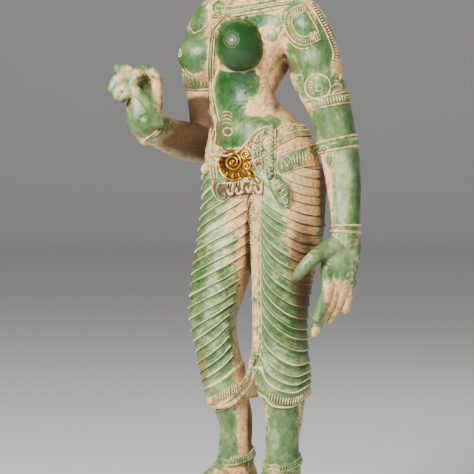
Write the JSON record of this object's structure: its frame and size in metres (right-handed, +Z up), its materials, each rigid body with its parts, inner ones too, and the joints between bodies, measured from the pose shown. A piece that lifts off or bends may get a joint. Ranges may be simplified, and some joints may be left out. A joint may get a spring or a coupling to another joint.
{
  "type": "standing goddess statue",
  "caption": "Standing goddess in painted cast brass, one hand raised and one arm hanging, in a pleated wrapped dress with a girdle, on a lotus pedestal.",
  "frame": {"origin": "middle of the pedestal's underside", "axes": "+Z up along the figure; the figure faces -Y, and its left side is at +X"},
  "size_m": [0.2547, 0.2, 0.7863],
  "materials": {
    "green_patina_brass": "cast brass under a satin green painted patina, rubbed back to cream and brown in the hollows, with a gold buckle",
    "cream_patina_brass": "cast brass under a matt cream painted patina with green on the petals and mouldings"
  },
  "bodies": {
    "root": {"figure": "green_patina_brass", "lotus_pedestal": "cream_patina_brass"}
  },
  "joints": []
}
